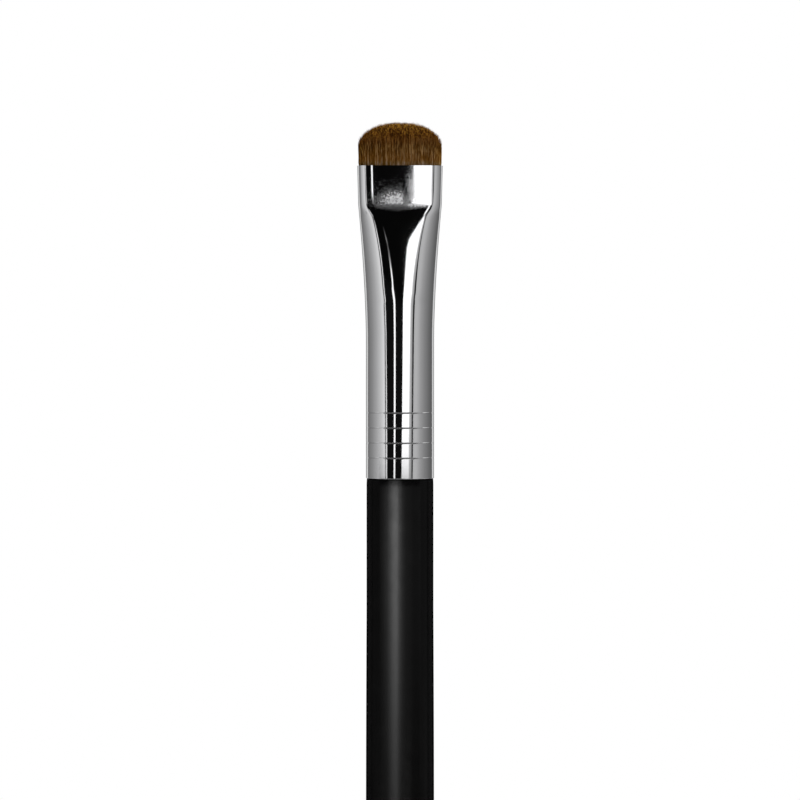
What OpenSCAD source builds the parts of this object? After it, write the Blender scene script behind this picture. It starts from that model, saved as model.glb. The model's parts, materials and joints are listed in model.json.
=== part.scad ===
// Eyeshadow brush: a short domed tuft in a pressed metal ferrule, on a turned and lacquered handle.
// Millimetres. The brush stands upright along Z with its hair at the top and its width along X.
// The origin is on the axis, at the middle of the cylindrical grip band of the handle.

/* [Ferrule] */
// Length of the ferrule from its lower edge to its mouth
ferrule_l = 36.6; // [34:0.1:42]
// Outside diameter of the ferrule's round tube
tube_d = 8.0; // [7.4:0.1:8.8]
// Thickness of the sheet metal
wall = 0.25; // [0.2:0.01:0.32]
// Width of the pressed mouth, from side to side
mouth_w = 10.04; // [9.4:0.02:11]
// Thickness of the pressed mouth, from front to back
mouth_t = 4.44; // [4.1:0.02:5]
// Amount by which the pressed part is narrower at its crease than at its mouth
press_draw = 0.12; // [0:0.02:0.3]
// Height of the pressed flat, from the mouth down to its crease
press_l = 4.6; // [4:0.1:6]
// Amount by which each flat face swells out just above the crease
press_rise = 0.1; // [0:0.01:0.2]
// Height of that swelling above the crease
press_rise_l = 1.7; // [1:0.1:2.5]
// Radius of the slight crown across each flat face
crown_r = 27.5; // [20:0.5:40]
// Height of the flare, from the crease down to the round tube
flare_l = 15.9; // [13:0.1:18]
// Bevel on the ferrule's lower edge
edge_bevel = 0.08; // [0:0.01:0.12]

/* [Rolled rings] */
// Number of rolled rings that lock the ferrule to the tenon
ring_count = 4; // [1:1:6]
// Height of the lowest ring above the ferrule's lower edge, as a share of the round tube's length
ring_first_share = 0.152; // [0.08:0.0005:0.2]
// Distance from one ring to the next, as a share of the round tube's length
ring_pitch_share = 0.1085; // [0.06:0.0001:0.13]
// Width of each rolled groove
ring_w = 0.32; // [0.2:0.02:0.7]
// Depth of each rolled groove
ring_depth = 0.06; // [0.03:0.01:0.16]

/* [Handle] */
// Length of the handle below the ferrule
handle_l = 133.3; // [110:0.1:160]
// Diameter of the handle right under the ferrule's edge
shoulder_d = 7.72; // [7.6:0.02:7.8]
// Diameter of the straight neck below the shoulder
neck_d = 7.84; // [7.6:0.02:8.4]
// Height over which the shoulder rounds into the neck
shoulder_l = 1; // [0.4:0.1:3]
// Length of the straight neck, measured from the ferrule's lower edge
neck_l = 15; // [8:0.5:25]
// Diameter of the handle's grip band, its widest place
grip_d = 8.0; // [7.9:0.02:9]
// Length of the cylindrical grip band
grip_l = 12; // [8:0.5:20]
// Distance from the ferrule's lower edge to the middle of the grip band
grip_drop = 48; // [40:0.5:55]
// Diameter of the handle where its rounded tail starts
tail_d = 4.6; // [3.5:0.1:6]
// Length of the rounded tail
tail_l = 2.4; // [1.5:0.1:4]
// Thickness of the lacquer coat
coat_t = 0.15; // [0.08:0.01:0.2]
// Distance from the tenon's end up to the start of the flare
tenon_gap = 1.5; // [0.5:0.1:4]
// Bevel on the tenon's top edge
tenon_bevel = 0.5; // [0.2:0.1:1]

/* [Glue and thread] */
// Thickness of the glue film round the tenon
glue_t = 0.1; // [0.05:0.01:0.2]
// Length of the tuft's root inside the ferrule, measured from the mouth
root_l = 9; // [8:0.1:11]
// Depth of the resin plug behind the root
plug_l = 4; // [2:0.1:6]
// Depth of the thread's middle below the mouth
thread_drop = 7; // [6.2:0.1:7.4]
// Width of the thread winding
thread_w = 1.4; // [0.8:0.1:1.6]
// Thickness of the thread winding
thread_t = 0.3; // [0.15:0.05:0.5]

/* [Hair] */
// Height of the hair above the mouth, at the top of its dome
hair_out = 5.2; // [4:0.1:8]
// Height of the hair's straight sides above the mouth
hair_straight = 1.8; // [1:0.1:2.6]
// Width of the hair above the mouth
hair_w = 9.8; // [9:0.01:10.4]
// Thickness of the hair above the mouth, from front to back
hair_t = 4.1; // [3.6:0.05:4.6]
// Depth of the root's top face below the mouth
root_sink = 1; // [0.6:0.1:1.5]
// Height above the mouth at which the hair has spread to its full width
spread_l = 0.7; // [0.5:0.1:1.5]
// Distance from one strand to the next in the root
strand_pitch = 0.29; // [0.27:0.005:0.31]
// Thickness of a strand
strand_t = 0.2; // [0.14:0.01:0.21]
// Thickness of a strand's tip
strand_tip_t = 0.09; // [0.05:0.01:0.14]
// Largest rise or fall of a strand's tip from the dome
tip_ragged = 0.1; // [0:0.01:0.2]

/* [Hidden] */

// Fits and small lengths
// Clearance between two nested round pieces
fit_gap = 0.01;
// Clearance between the pressed wall and what fills it
fill_gap = 0.03;
// Step in from the tube's two faces, where the flare's wall laps into the tube
lap_in = 0.01;
// Length of that lap
lap_l = 0.5;
// A length too small to matter, below which a section counts as round
tiny = 0.001;

// Shares that shape the ferrule
// How fast the sides close in along the flare
side_share = 0.606;
// How fast the front and back swell out along the flare
face_share = 0.28;
// Part of the flare over which the flat crown of the faces goes
crown_fade_share = 0.73;
// Spacing of the flare's rings, closer near the crease
ring_spread_share = 0.75;
// Sine of the angle at which a round section passes from face to side
round_turn_share = 0.6;

// Shares that shape the hair
// Roundness of the dome across its width
dome_share = 0.444;
// How much lower the dome is at the front and back
dome_front_share = 0.6;

// Counts of points and steps
quarter = 12;
around = 4 * quarter;
rise_steps = 4;
flare_steps = 14;
groove_steps = 3;
shoulder_steps = 5;
swell_steps = 9;
taper_steps = 24;
tail_steps = 9;
strand_sides = 3;
ragged_seed = 11;
$fn = 96;

// Heights and radii that several pieces share
edge_z = grip_drop;
mouth_z = edge_z + ferrule_l;
tube_r = tube_d / 2;
tube_in_r = tube_r - wall;
flare_end = press_l + flare_l;
tube_l = ferrule_l - flare_end;
tube_top_z = edge_z + tube_l;
tenon_r = tube_in_r - glue_t - 2 * fit_gap;
tenon_top_z = tube_top_z - tenon_gap;
press_half_w = mouth_w / 2 - press_draw;
press_half_t = mouth_t / 2 + press_rise;
crown_extra = crown_r - press_half_w * press_half_w / press_half_t;

// Outside of the ferrule at a depth below its mouth

// Place along the flare, 0 at the crease and 1 at the round tube
function flare_u(d) = min(1, max(0, (d - press_l) / flare_l));

function smooth(t) = t <= 0 ? 0 : t >= 1 ? 1 : t * t * (3 - 2 * t);

// Half of the section's width
function half_w(d) = d < press_l
    ? mouth_w / 2 - press_draw * d / press_l
    : tube_r + (press_half_w - tube_r) * pow(1 - flare_u(d), 1 / side_share);

// Place in the swelling above the crease, 0 at its top and 1 at the crease
function rise_u(d) = max(0, (d - press_l + press_rise_l) / press_rise_l);

// Half of the section's thickness
function half_t(d) = d < press_l
    ? mouth_t / 2 + press_rise * pow(rise_u(d), 2)
    : tube_r - (tube_r - press_half_t) * pow(1 - flare_u(d), 1 / face_share);

// Extra radius that flattens the faces beyond an oval's own crown
function extra_r(d) = crown_extra * (1 - smooth(flare_u(d) / crown_fade_share));

// The section is an oval of four arcs: a face arc at front and back and an end arc at each side.
// Radius of the face arcs
function face_r(d) = pow(half_w(d), 2) / half_t(d) + extra_r(d);

function is_round(d) = half_w(d) - half_t(d) < tiny && extra_r(d) < tiny;

// Radius of the end arcs, which makes the four arcs tangent
function end_r(d) = is_round(d)
    ? half_t(d)
    : (2 * face_r(d) * half_t(d) - pow(half_w(d), 2) - pow(half_t(d), 2)) / (2 * (face_r(d) - half_w(d)));

// Angle at which the face arc passes into the end arc
function turn_angle(d) = is_round(d)
    ? asin(round_turn_share)
    : asin((half_w(d) - end_r(d)) / (face_r(d) - end_r(d)));

// Length of an arc of a radius over an angle
function arc_l(r, angle) = r * angle * PI / 180;
function arc_angle(r, length) = length / r * 180 / PI;

// Angle of the outward normal at a length along the quarter, from the face's middle to the side
function angle_at(r_face, r_end, turn, length) = length <= arc_l(r_face, turn)
    ? arc_angle(r_face, length)
    : turn + arc_angle(r_end, length - arc_l(r_face, turn));

// A point of the first quarter at a normal's angle, set in by a wall or a clearance
function oval_point(a, b, r_face, r_end, turn, angle, inset) = angle <= turn
    ? [(r_face - inset) * sin(angle), b - r_face + (r_face - inset) * cos(angle)]
    : [a - r_end + (r_end - inset) * sin(angle), (r_end - inset) * cos(angle)];

// The first quarter's points, equally far apart along its outside
function quarter_points(d, inset) =
    let (
        r_face = face_r(d),
        r_end = end_r(d),
        turn = turn_angle(d),
        length = arc_l(r_face, turn) + arc_l(r_end, 90 - turn)
    )
    [
        for (m = [0 : quarter])
            let (angle = angle_at(r_face, r_end, turn, length * m / quarter))
                oval_point(half_w(d), half_t(d), r_face, r_end, turn, angle, inset)
    ];

x_signs = [1, 1, -1, -1];
y_signs = [1, -1, -1, 1];

// The quarter's points, with the other three mirrored from it
function whole_oval(q) = [
    for (i = [0 : around - 1])
        let (k = floor(i / quarter), s = i % quarter, m = k % 2 == 0 ? s : quarter - s)
            [x_signs[k] * q[m][0], y_signs[k] * q[m][1]]
];

// A ring of points at a depth below the mouth
function oval_ring(d, inset) = [for (p = whole_oval(quarter_points(d, inset))) [p[0], p[1], mouth_z - d]];

// Depths of the rings, from the mouth to the start of the tube
press_depths = [0, for (k = [0 : rise_steps]) press_l - press_rise_l * (1 - k / rise_steps)];
flare_depths = [
    for (k = [1 : flare_steps]) press_l + flare_l * pow(k / flare_steps, 1 / ring_spread_share)
];
all_depths = concat(press_depths, flare_depths);

// The depths between two limits, with the limits themselves
function depths_between(top, low) = concat([top], [for (d = all_depths) if (d > top && d < low) d], [low]);

function flat_list(lists) = [for (l = lists) each l];

// Triangles between ring k and ring j, each of n points
function band(k, j, n) = [
    for (i = [0 : n - 1])
        let (h = (i + 1) % n)
            each [[k * n + i, j * n + h, k * n + h], [k * n + i, j * n + i, j * n + h]]
];

// Triangles that close ring k, seen from the side that the order asks for
function fan(k, n, turned) = [
    for (i = [1 : n - 2]) turned ? [k * n, k * n + i + 1, k * n + i] : [k * n, k * n + i, k * n + i + 1]
];

// A closed solid through a stack of rings, listed from the top down
module stack(rings) {
    n = len(rings[0]);
    last = len(rings) - 1;
    faces = concat(
        flat_list([for (k = [0 : last - 1]) band(k, k + 1, n)]), fan(0, n, false), fan(last, n, true)
    );
    polyhedron(points = flat_list(rings), faces = faces);
}

// A closed wall through rings that go down the outside and up the inside
module hollow_stack(rings) {
    n = len(rings[0]);
    count = len(rings);
    polyhedron(
        points = flat_list(rings),
        faces = flat_list([for (k = [0 : count - 1]) band(k, (k + 1) % count, n)])
    );
}

// Rolled rings

// Depth of the rolled grooves at a height above the ferrule's lower edge, for one groove
function groove(t) = ring_depth * (1 + cos(180 * t)) / 2;

// Heights of the rings above the lower edge, all of them where the tenon backs the tube
ring_heights = [
    for (k = [0 : ring_count - 1])
        let (h = tube_l * (ring_first_share + ring_pitch_share * k))
            if (edge_z + h + ring_w < tenon_top_z - tenon_bevel) h
];

// A line up the tube at a radius, dented by the rolled rings
function rolled_line(r, z0, z1) = concat(
    [[r, z0]],
    [
        for (h = ring_heights, j = [-groove_steps : groove_steps])
            [r - groove(j / groove_steps), edge_z + h + ring_w / 2 * j / groove_steps]
    ],
    [[r, z1]]
);

function turned_back(line) = [for (i = [len(line) - 1 : -1 : 0]) line[i]];

// Handle outline

grip_top = grip_drop - grip_l / 2;
grip_low = grip_drop + grip_l / 2;
tail_top = handle_l - tail_l;

// Points [radius, depth below the ferrule] of the handle's outline, from the shoulder to the tail
shoulder_line = [
    for (k = [0 : shoulder_steps])
        let (u = k / shoulder_steps)
            [shoulder_d / 2 + (neck_d - shoulder_d) / 2 * sqrt(1 - pow(1 - u, 2)), shoulder_l * u]
];
swell_line = [
    for (k = [0 : swell_steps])
        let (u = k / swell_steps)
            [neck_d / 2 + (grip_d - neck_d) / 2 * sin(90 * u), neck_l + (grip_top - neck_l) * u]
];
taper_line = [
    for (k = [0 : taper_steps])
        let (u = k / taper_steps)
            [tail_d / 2 + (grip_d - tail_d) / 2 * cos(90 * u), grip_low + (tail_top - grip_low) * u]
];
handle_line = concat(shoulder_line, swell_line, taper_line);

// The rounded tail in [radius, height], set in by a coat
function tail_outline(inset) = [
    for (k = [1 : tail_steps])
        let (u = k / tail_steps)
            [
                (tail_d / 2 - inset) * cos(90 * u),
                edge_z - tail_top - (tail_l - inset) * sin(90 * u)
            ]
];

// The whole outline in [radius, height], set in by a coat
function handle_outline(inset) = concat(
    [for (p = handle_line) [p[0] - inset, edge_z - p[1]]],
    tail_outline(inset)
);

// Hair

// Size of the root's top face, which leaves the strands room to spread past the rim
rim_half_w = half_w(0) - wall - fill_gap - strand_t / 2;
rim_half_t = half_t(0) - wall - fill_gap - strand_t / 2;
top_half_w = (hair_w - strand_t) / 2;
top_half_t = (hair_t - strand_t) / 2;
rim_part = root_sink / (root_sink + spread_l);

// Half size at the root from which a straight run just clears the rim and reaches the full spread
function root_half(rim, top) = top > rim ? (rim - rim_part * top) / (1 - rim_part) : rim;
root_half_w = root_half(rim_half_w, top_half_w);
root_half_t = root_half(rim_half_t, top_half_t);
spread_w = top_half_w / root_half_w;
spread_t = top_half_t / root_half_t;

// True for a place inside the root's face, which has straight sides and half-round ends
end_part = root_half_w - root_half_t;
function inside_root(x, y) = pow(max(0, abs(x) - end_part), 2) + y * y <= pow(root_half_t + tiny, 2);

// How much thinner the crowned mouth is at a place along its width than at its middle
function crown_part(x) = 1 - (face_r(0) - sqrt(pow(face_r(0), 2) - x * x)) / rim_half_t;

// Places of the strands: rows of alternate strands that reach the root's full size
row_count = round(root_half_t / (strand_pitch * sqrt(3) / 2));
row_step = root_half_t / row_count;
col_count = round(root_half_w / strand_pitch);
col_step = root_half_w / col_count;
strand_places = [
    for (j = [-row_count : row_count])
        for (i = [-col_count : col_count])
            let (x = (i + (abs(j) % 2) / 2) * col_step, y = j * row_step)
                if (inside_root(x, y)) [x, y * crown_part(x * spread_w)]
];
strand_total = len(strand_places);
ragged = rands(-tip_ragged, tip_ragged, strand_total, ragged_seed);

// Height of the dome above the mouth, at a place in the full spread
function dome_q(x, y) = pow(abs(x) / (hair_w / 2), 1 / dome_share)
    + dome_front_share * pow(abs(y) / (hair_t / 2), 1 / dome_share);
function dome_h(x, y) = hair_straight
    + (hair_out - tip_ragged - hair_straight) * pow(max(0, 1 - dome_q(x, y)), dome_share);

// The corners of a strand's cross-section at a place and height
function strand_ring(x, y, z, t) = [
    for (k = [0 : strand_sides - 1])
        [x + t / 2 * sin(360 * k / strand_sides), y + t / 2 * cos(360 * k / strand_sides), z]
];

// One strand: rooted in the root's top face, past the rim, and up to its tip
module strand(i) {
    x = strand_places[i][0];
    y = strand_places[i][1];
    full_x = x * spread_w;
    full_y = y * spread_t;
    tip_z = mouth_z + dome_h(full_x, full_y) + ragged[i];
    stack([
        strand_ring(full_x, full_y, tip_z, strand_tip_t),
        strand_ring(full_x, full_y, mouth_z + spread_l, strand_t),
        strand_ring(x, y, mouth_z - root_sink - strand_t, strand_t)
    ]);
}

// The tuft's packed root, with a waist where the thread is wound
thread_top = thread_drop - thread_w / 2;
thread_low = thread_drop + thread_w / 2;
root_inset = wall + fill_gap;
waist_inset = root_inset + thread_t + fill_gap;
module tuft_root() {
    stack(concat(
        [for (d = depths_between(root_sink, thread_top - fit_gap)) oval_ring(d, root_inset)],
        [for (d = depths_between(thread_top - fit_gap, thread_low + fit_gap)) oval_ring(d, waist_inset)],
        [for (d = depths_between(thread_low + fit_gap, root_l)) oval_ring(d, root_inset)]
    ));
}

module bristles() {
    color([0.3, 0.18, 0.07])
        union() {
            tuft_root();
            for (i = [0 : strand_total - 1]) strand(i);
        }
}

module binding_thread() {
    color([0.85, 0.82, 0.74])
        hollow_stack(concat(
            [for (d = depths_between(thread_top, thread_low)) oval_ring(d, root_inset)],
            [for (d = turned_back(depths_between(thread_top, thread_low))) oval_ring(d, root_inset + thread_t)]
        ));
}

module root_plug() {
    color([0.78, 0.66, 0.38])
        stack([
            for (d = depths_between(root_l + fit_gap, root_l + plug_l)) oval_ring(d, root_inset)
        ]);
}

// The flare and the pressed mouth, whose wall laps into the tube's wall
lap_start = flare_end - lap_l;
pressed_depths = concat([for (d = all_depths) if (d < lap_start) d], [lap_start]);
pressed_outside = concat(
    [for (d = pressed_depths) oval_ring(d, 0)],
    [oval_ring(flare_end, lap_in), oval_ring(flare_end + lap_l, lap_in)]
);
pressed_inside = concat(
    [oval_ring(flare_end + lap_l, wall - lap_in), oval_ring(flare_end, wall - lap_in)],
    [for (d = turned_back(pressed_depths)) oval_ring(d, wall)]
);

module ferrule() {
    color([0.82, 0.82, 0.83]) {
        hollow_stack(concat(pressed_outside, pressed_inside));
        rotate_extrude()
            polygon(concat(
                [[tube_in_r, edge_z], [tube_r - edge_bevel, edge_z]],
                rolled_line(tube_r, edge_z + edge_bevel, tube_top_z),
                turned_back(rolled_line(tube_in_r, edge_z + edge_bevel, tube_top_z))
            ));
    }
}

module tenon_adhesive() {
    color([0.88, 0.82, 0.6])
        rotate_extrude()
            polygon(concat(
                rolled_line(tube_in_r - fit_gap, edge_z, tenon_top_z - tenon_bevel),
                turned_back(rolled_line(tenon_r + fit_gap, edge_z, tenon_top_z - tenon_bevel))
            ));
}

module handle_core() {
    color([0.78, 0.62, 0.42])
        rotate_extrude()
            polygon(concat(
                [[0, tenon_top_z], [tenon_r - tenon_bevel, tenon_top_z]],
                turned_back(rolled_line(tenon_r, edge_z, tenon_top_z - tenon_bevel)),
                handle_outline(coat_t + fit_gap)
            ));
}

module handle_lacquer() {
    color([0.03, 0.03, 0.03])
        rotate_extrude()
            polygon(concat(handle_outline(0), turned_back(handle_outline(coat_t))));
}

bristles();
binding_thread();
root_plug();
ferrule();
tenon_adhesive();
handle_core();
handle_lacquer();
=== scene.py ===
"""Looks of the eyeshadow brush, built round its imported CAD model.

The brush stands upright along Z with its hair at the top, its width along X and its front face towards -Y.
Lengths in the classes are in millimetres, as in the CAD source, and become metres where a mesh is made.
"""

import json
import logging
import math
from dataclasses import dataclass
from enum import Enum
from functools import reduce

import bpy
import numpy as np
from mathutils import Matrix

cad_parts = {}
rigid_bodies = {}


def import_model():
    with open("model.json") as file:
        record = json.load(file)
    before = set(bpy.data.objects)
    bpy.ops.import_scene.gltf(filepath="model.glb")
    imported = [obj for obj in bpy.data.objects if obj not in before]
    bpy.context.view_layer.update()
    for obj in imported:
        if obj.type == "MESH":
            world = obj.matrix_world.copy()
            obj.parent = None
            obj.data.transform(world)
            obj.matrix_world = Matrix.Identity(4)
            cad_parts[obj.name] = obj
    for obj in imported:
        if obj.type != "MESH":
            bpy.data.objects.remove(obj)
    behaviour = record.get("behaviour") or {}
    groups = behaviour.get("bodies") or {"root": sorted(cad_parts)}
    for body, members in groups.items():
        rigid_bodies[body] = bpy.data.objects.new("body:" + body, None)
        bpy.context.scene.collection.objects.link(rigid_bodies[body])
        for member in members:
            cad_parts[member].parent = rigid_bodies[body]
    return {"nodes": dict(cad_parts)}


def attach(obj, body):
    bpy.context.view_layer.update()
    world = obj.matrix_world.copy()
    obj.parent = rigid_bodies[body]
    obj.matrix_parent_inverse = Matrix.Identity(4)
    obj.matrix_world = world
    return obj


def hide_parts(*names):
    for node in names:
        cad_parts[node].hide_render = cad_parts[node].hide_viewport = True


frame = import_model()

Object = bpy.types.Object
Material = bpy.types.Material
Socket = bpy.types.NodeSocket
Value = Socket | float
Array = np.ndarray
Pair = tuple[float, float]
Triple = tuple[float, float, float]
Quad = tuple[float, float, float, float]
Stops = tuple[tuple[float, Triple], ...]

MM = 0.001
WHITE = (1, 1, 1)
log = logging.getLogger("brush")


class Slot(Enum):
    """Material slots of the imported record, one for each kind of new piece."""

    HAIR = "hair"
    METAL = "ferrule_metal"
    LACQUER = "lacquer"


class Ends(Enum):
    """Which ends of a drawn tube stay closed."""

    OPEN = "open"
    LOWER = "lower"


# Shapes


def smooth(t: float) -> float:
    """Ease from 0 to 1 with flat ends."""
    t = min(1.0, max(0.0, t))
    return t * t * (3 - 2 * t)


def steps(start: float, stop: float, count: int) -> list[float]:
    """Evenly spaced values from a start to one step before a stop."""
    return list(np.linspace(start, stop, count + 1)[:-1])


@dataclass(frozen=True)
class FerruleForm:
    """Outside of the ferrule. Depths are measured down from its mouth.

    Each section of the flare is an oval of four arcs: a face arc at the front and back and an end arc at each
    side. The pressed part has tighter corners, a chain of tangent arcs from the face's middle to the side.
    The drawn rings are counted on the press, on its rise, on the crease and on the flare.
    """

    edge_z: float = 48.0
    length: float = 36.6
    tube_r: float = 4.0
    mouth_half_w: float = 5.02
    mouth_half_t: float = 2.22
    press_draw: float = 0.12
    press_l: float = 4.6
    press_rise: float = 0.1
    press_rise_l: float = 1.7
    crown_r: float = 27.5
    flare_l: float = 15.9
    side_share: float = 0.606
    face_share: float = 0.28
    crown_fade_share: float = 0.73
    crease_soft: float = 0.4
    soft_steps: int = 6
    round_within: float = 0.001
    arc_turns: tuple[float, ...] = (0, 2.5, 8.6, 14.6, 43.6, 66, 90)
    arc_radii: tuple[float, ...] = (33, 16.2, 4.5, 2.15, 0.5, 3.13)
    arc_samples: int = 1201
    arcs_fade: float = 1.45
    wall: float = 0.25
    edge_round: float = 0.03
    edge_steps: int = 4
    ring_count: int = 4
    ring_first_share: float = 0.1488
    ring_pitch_share: float = 0.1093
    ring_w: float = 0.18
    ring_depth: float = 0.025
    ring_steps: int = 4
    drawn_rings: tuple[int, int, int, int] = (5, 11, 12, 60)
    flare_ease: float = 1.4

    @property
    def mouth_z(self) -> float:
        """Height of the mouth."""
        return self.edge_z + self.length

    @property
    def flare_end(self) -> float:
        """Depth at which the round tube starts."""
        return self.press_l + self.flare_l

    @property
    def tube_l(self) -> float:
        """Length of the round tube."""
        return self.length - self.flare_end

    @property
    def ring_heights(self) -> list[float]:
        """Heights of the rolled grooves' middles above the lower edge."""
        shares = (self.ring_first_share + self.ring_pitch_share * k for k in range(self.ring_count))
        return [self.tube_l * share for share in shares]

    def measures(self, depth: float) -> Array:
        """Half width, half thickness and radius of the face arcs of a section.

        Args:
            depth: Depth below the mouth.

        Returns:
            The three measures.
        """
        crease_w = self.mouth_half_w - self.press_draw
        crease_t = self.mouth_half_t + self.press_rise
        u = min(1.0, max(0.0, (depth - self.press_l) / self.flare_l))
        if depth < self.press_l:
            rise = max(0.0, (depth - self.press_l + self.press_rise_l) / self.press_rise_l)
            half_w = self.mouth_half_w - self.press_draw * depth / self.press_l
            half_t = self.mouth_half_t + self.press_rise * rise**2
        else:
            half_w = self.tube_r + (crease_w - self.tube_r) * (1 - u) ** (1 / self.side_share)
            half_t = self.tube_r - (self.tube_r - crease_t) * (1 - u) ** (1 / self.face_share)
        extra = (self.crown_r - crease_w**2 / crease_t) * (1 - smooth(u / self.crown_fade_share))
        return np.array([half_w, half_t, half_w**2 / half_t + extra])

    def softened(self, depth: float) -> Array:
        """The same measures, averaged over a short length so that the crease is rounded.

        Args:
            depth: Depth below the mouth.

        Returns:
            The three measures.
        """
        shifts = [k / self.soft_steps for k in range(-self.soft_steps, self.soft_steps + 1)]
        weights = [1 + math.cos(math.pi * s) for s in shifts]
        values = [self.measures(depth + self.crease_soft * s) for s in shifts]
        return sum(w * v for w, v in zip(weights, values)) / sum(weights)

    def oval(self, a: float, b: float, face: float, count: int) -> Array:
        """A quarter of the four-arc oval, in steps of equal length from +Y to +X.

        Args:
            a: Half width.
            b: Half thickness.
            face: Radius of the face arcs.
            count: Number of steps.

        Returns:
            Rows with x and y, one more than the steps.
        """
        if a - b < self.round_within:
            angles = np.arange(count + 1) / count * math.pi / 2
            return np.column_stack([a * np.sin(angles), b * np.cos(angles)])
        end = (2 * face * b - a * a - b * b) / (2 * (face - a))
        turn = math.asin((a - end) / (face - end))
        run = np.arange(count + 1) / count * (face * turn + end * (math.pi / 2 - turn))
        on_face = run <= face * turn
        angle = np.where(on_face, run / face, turn + (run - face * turn) / end)
        x = np.where(on_face, face * np.sin(angle), a - end + end * np.sin(angle))
        y = np.where(on_face, b - face + face * np.cos(angle), end * np.cos(angle))
        return np.column_stack([x, y])

    def pressed(self, a: float, b: float, count: int) -> Array:
        """A quarter of the pressed outline, in steps of equal length from +Y to +X.

        Args:
            a: Half width.
            b: Half thickness.
            count: Number of steps.

        Returns:
            Rows with x and y, one more than the steps.
        """
        angles = np.linspace(0, math.pi / 2, self.arc_samples)
        turns = np.radians(self.arc_turns)
        x, y = np.zeros_like(angles), np.zeros_like(angles)
        for radius, start, stop in zip(self.arc_radii, turns, turns[1:]):
            held = np.clip(angles, start, stop)
            x += radius * (np.sin(held) - math.sin(start))
            y += radius * (np.cos(held) - math.cos(stop))
        x, y = x * a / x.max(), y * b / y.max()
        run = np.concatenate([[0], np.cumsum(np.hypot(np.diff(x), np.diff(y)))])
        at = np.linspace(0, run[-1], count + 1)
        return np.column_stack([np.interp(at, run, x), np.interp(at, run, y)])

    def section(self, depth: float, count: int) -> Array:
        """Points of the outline at a depth, equally far apart, from +Y towards +X.

        Args:
            depth: Depth below the mouth.
            count: Number of points, a multiple of four.

        Returns:
            An array of count rows with x and y.
        """
        a, b, face = self.softened(depth)
        quarter = self.oval(a, b, face, count // 4)
        share = 1 - smooth((depth - self.press_l) / self.arcs_fade)
        if share > 0:
            quarter = share * self.pressed(a, b, count // 4) + (1 - share) * quarter
        back = quarter[::-1]
        return np.vstack([
            quarter[:-1], back[:-1] * (1, -1), quarter[:-1] * (-1, -1), back[:-1] * (-1, 1),
        ])

    def groove(self, height: float) -> float:
        """Distance of a height from the nearest groove's middle, 1 at the groove's edge and beyond it."""
        return min(1.0, min(abs(height - middle) for middle in self.ring_heights) / (self.ring_w / 2))

    def inset(self, height: float) -> float:
        """How far the rolled grooves and the rounded lower edge lie inwards.

        Args:
            height: Height above the lower edge.

        Returns:
            The depth of the surface there.
        """
        depth = self.ring_depth * (1 + math.cos(math.pi * self.groove(height))) / 2
        if height < self.edge_round:
            left = self.edge_round**2 - (self.edge_round - height) ** 2
            depth += self.edge_round - math.sqrt(max(0.0, left))
        return depth

    def depths(self) -> list[float]:
        """Depths of the drawn rings, closer together where the shape turns fast.

        Returns:
            The depths, from the mouth to the lower edge.
        """
        press, rise, crease, flare = self.drawn_rings
        start = self.press_l - self.press_rise_l
        low = self.press_l - self.crease_soft
        high = self.press_l + self.crease_soft
        upper = steps(0, start, press) + steps(start, low, rise) + steps(low, high, crease)
        upper += [high + (self.flare_end - high) * (k / flare) ** self.flare_ease for k in range(flare)]
        heights = {self.tube_l, self.edge_round, 2 * self.edge_round, 3 * self.edge_round}
        reach = self.ring_steps * 3 // 2
        for middle in self.ring_heights:
            heights |= {middle + self.ring_w / 2 * k / self.ring_steps for k in range(-reach, reach + 1)}
        for a, b in zip(sorted(heights), sorted(heights)[1:]):
            if b - a > self.ring_w:
                heights |= set(steps(a, b, 3)[1:])
        turns = (math.pi / 2 * k / self.edge_steps for k in range(self.edge_steps))
        heights |= {self.edge_round * (1 - math.cos(turn)) for turn in turns}
        return upper + sorted(self.length - height for height in heights)


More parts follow.
